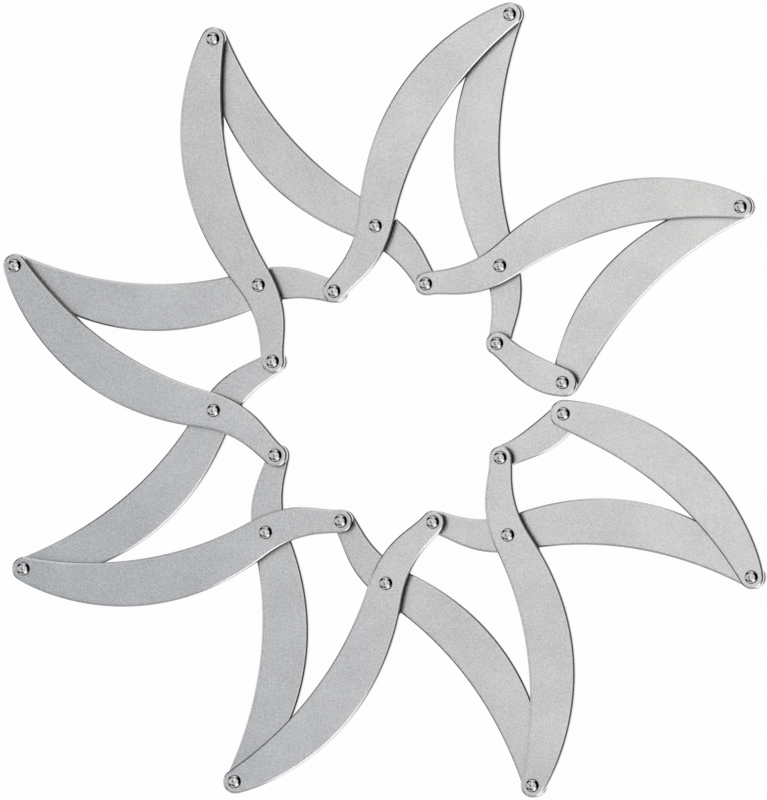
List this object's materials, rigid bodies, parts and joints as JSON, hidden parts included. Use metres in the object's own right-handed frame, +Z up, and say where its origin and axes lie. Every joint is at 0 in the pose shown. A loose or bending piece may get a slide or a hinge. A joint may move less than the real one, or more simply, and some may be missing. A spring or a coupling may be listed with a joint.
{
  "type": "folding trivet",
  "caption": "Flat metal trivet for hot pots: curved strips riveted into a ring of scissor petals, which opens flat and closes up sideways into a narrow fan.",
  "frame": {"origin": "middle of the open trivet's outline, on the surface that it stands on", "axes": "+Z up, square to the strips; +X through the ring's gap, between the first and last middle rivets"},
  "size_m": [0.2013, 0.2084, 0.0076],
  "materials": {
    "strip_metal": "satin faces with fine random scratches, polished cut edges",
    "rivet_metal": "polished domed heads"
  },
  "bodies": {
    "upper_0": {"upper_short_half": "strip_metal", "middle_rivet_0": "rivet_metal", "inner_rivet_1": "rivet_metal"},
    "upper_1": {"upper_strip_1": "strip_metal", "outer_rivet_1": "rivet_metal", "middle_rivet_1": "rivet_metal", "inner_rivet_2": "rivet_metal"},
    "upper_2": {"upper_strip_2": "strip_metal", "outer_rivet_2": "rivet_metal", "middle_rivet_2": "rivet_metal", "inner_rivet_3": "rivet_metal"},
    "upper_3": {"upper_strip_3": "strip_metal", "outer_rivet_3": "rivet_metal", "middle_rivet_3": "rivet_metal", "inner_rivet_4": "rivet_metal"},
    "upper_4": {"upper_strip_4": "strip_metal", "outer_rivet_4": "rivet_metal", "middle_rivet_4": "rivet_metal", "inner_rivet_5": "rivet_metal"},
    "upper_5": {"upper_strip_5": "strip_metal", "outer_rivet_5": "rivet_metal", "middle_rivet_5": "rivet_metal", "inner_rivet_6": "rivet_metal"},
    "upper_6": {"upper_strip_6": "strip_metal", "outer_rivet_6": "rivet_metal", "middle_rivet_6": "rivet_metal", "inner_rivet_7": "rivet_metal"},
    "upper_7": {"upper_strip_7": "strip_metal", "outer_rivet_7": "rivet_metal", "middle_rivet_7": "rivet_metal", "inner_rivet_8": "rivet_metal"},
    "upper_8": {"upper_long_half": "strip_metal", "outer_rivet_8": "rivet_metal", "middle_rivet_8": "rivet_metal"},
    "lower_0": {"lower_long_half": "strip_metal"},
    "lower_1": {"lower_strip_1": "strip_metal"},
    "lower_2": {"lower_strip_2": "strip_metal"},
    "lower_3": {"lower_strip_3": "strip_metal"},
    "lower_4": {"lower_strip_4": "strip_metal"},
    "lower_5": {"lower_strip_5": "strip_metal"},
    "lower_6": {"lower_strip_6": "strip_metal"},
    "lower_7": {"lower_strip_7": "strip_metal"},
    "lower_8": {"lower_short_half": "strip_metal"}
  },
  "joints": [
    {"name": "fold", "type": "hinge", "parent": "upper_4", "child": "lower_4", "pos_m": [-0.04541, -0.00133, 0], "axis": [0, 0, 1], "range_deg": [-53, 0]},
    {"name": "outer_pivot_5", "type": "hinge", "parent": "lower_4", "child": "upper_5", "pos_m": [-0.09794, -0.04129, 0], "axis": [0, 0, 1], "range_deg": [0, 20]},
    {"name": "middle_pivot_5", "type": "hinge", "parent": "upper_5", "child": "lower_5", "pos_m": [-0.03236, -0.03383, 0], "axis": [0, 0, 1], "range_deg": [-53, 0]},
    {"name": "outer_pivot_6", "type": "hinge", "parent": "lower_5", "child": "upper_6", "pos_m": [-0.04268, -0.09902, 0], "axis": [0, 0, 1], "range_deg": [0, 20]},
    {"name": "middle_pivot_6", "type": "hinge", "parent": "upper_6", "child": "lower_6", "pos_m": [-0.00047, -0.04828, 0], "axis": [0, 0, 1], "range_deg": [-53, 0]},
    {"name": "outer_pivot_7", "type": "hinge", "parent": "lower_6", "child": "upper_7", "pos_m": [0.03716, -0.10251, 0], "axis": [0, 0, 1], "range_deg": [0, 20]},
    {"name": "middle_pivot_7", "type": "hinge", "parent": "upper_7", "child": "lower_7", "pos_m": [0.03257, -0.03667, 0], "axis": [0, 0, 1], "range_deg": [-53, 0]},
    {"name": "outer_pivot_8", "type": "hinge", "parent": "lower_7", "child": "upper_8", "pos_m": [0.09725, -0.04982, 0], "axis": [0, 0, 1], "range_deg": [0, 20]},
    {"name": "middle_pivot_8", "type": "hinge", "parent": "upper_8", "child": "lower_8", "pos_m": [0.04841, -0.00543, 0], "axis": [0, 0, 1], "range_deg": [-53, 0]},
    {"name": "outer_pivot_4", "type": "hinge", "parent": "upper_4", "child": "lower_3", "pos_m": [-0.09794, 0.03863, 0], "axis": [0, 0, 1], "range_deg": [-20, 0]},
    {"name": "middle_pivot_3", "type": "hinge", "parent": "lower_3", "child": "upper_3", "pos_m": [-0.03236, 0.03117, 0], "axis": [0, 0, 1], "range_deg": [0, 53]},
    {"name": "outer_pivot_3", "type": "hinge", "parent": "upper_3", "child": "lower_2", "pos_m": [-0.04268, 0.09636, 0], "axis": [0, 0, 1], "range_deg": [-20, 0]},
    {"name": "middle_pivot_2", "type": "hinge", "parent": "lower_2", "child": "upper_2", "pos_m": [-0.00047, 0.04563, 0], "axis": [0, 0, 1], "range_deg": [0, 53]},
    {"name": "outer_pivot_2", "type": "hinge", "parent": "upper_2", "child": "lower_1", "pos_m": [0.03716, 0.09985, 0], "axis": [0, 0, 1], "range_deg": [-20, 0]},
    {"name": "middle_pivot_1", "type": "hinge", "parent": "lower_1", "child": "upper_1", "pos_m": [0.03257, 0.03401, 0], "axis": [0, 0, 1], "range_deg": [0, 53]},
    {"name": "outer_pivot_1", "type": "hinge", "parent": "upper_1", "child": "lower_0", "pos_m": [0.09725, 0.04716, 0], "axis": [0, 0, 1], "range_deg": [-20, 0]},
    {"name": "middle_pivot_0", "type": "hinge", "parent": "lower_0", "child": "upper_0", "pos_m": [0.04841, 0.00277, 0], "axis": [0, 0, 1], "range_deg": [0, 53]}
  ],
  "couplings": [
    {"joint": "outer_pivot_5", "follows": "fold", "ratio": -0.3772},
    {"joint": "middle_pivot_5", "follows": "fold", "ratio": 1},
    {"joint": "outer_pivot_6", "follows": "fold", "ratio": -0.3772},
    {"joint": "middle_pivot_6", "follows": "fold", "ratio": 1},
    {"joint": "outer_pivot_7", "follows": "fold", "ratio": -0.3772},
    {"joint": "middle_pivot_7", "follows": "fold", "ratio": 1},
    {"joint": "outer_pivot_8", "follows": "fold", "ratio": -0.3772},
    {"joint": "middle_pivot_8", "follows": "fold", "ratio": 1},
    {"joint": "outer_pivot_4", "follows": "fold", "ratio": 0.3772},
    {"joint": "middle_pivot_3", "follows": "fold", "ratio": -1},
    {"joint": "outer_pivot_3", "follows": "fold", "ratio": 0.3772},
    {"joint": "middle_pivot_2", "follows": "fold", "ratio": -1},
    {"joint": "outer_pivot_2", "follows": "fold", "ratio": 0.3772},
    {"joint": "middle_pivot_1", "follows": "fold", "ratio": -1},
    {"joint": "outer_pivot_1", "follows": "fold", "ratio": 0.3772},
    {"joint": "middle_pivot_0", "follows": "fold", "ratio": -1}
  ]
}
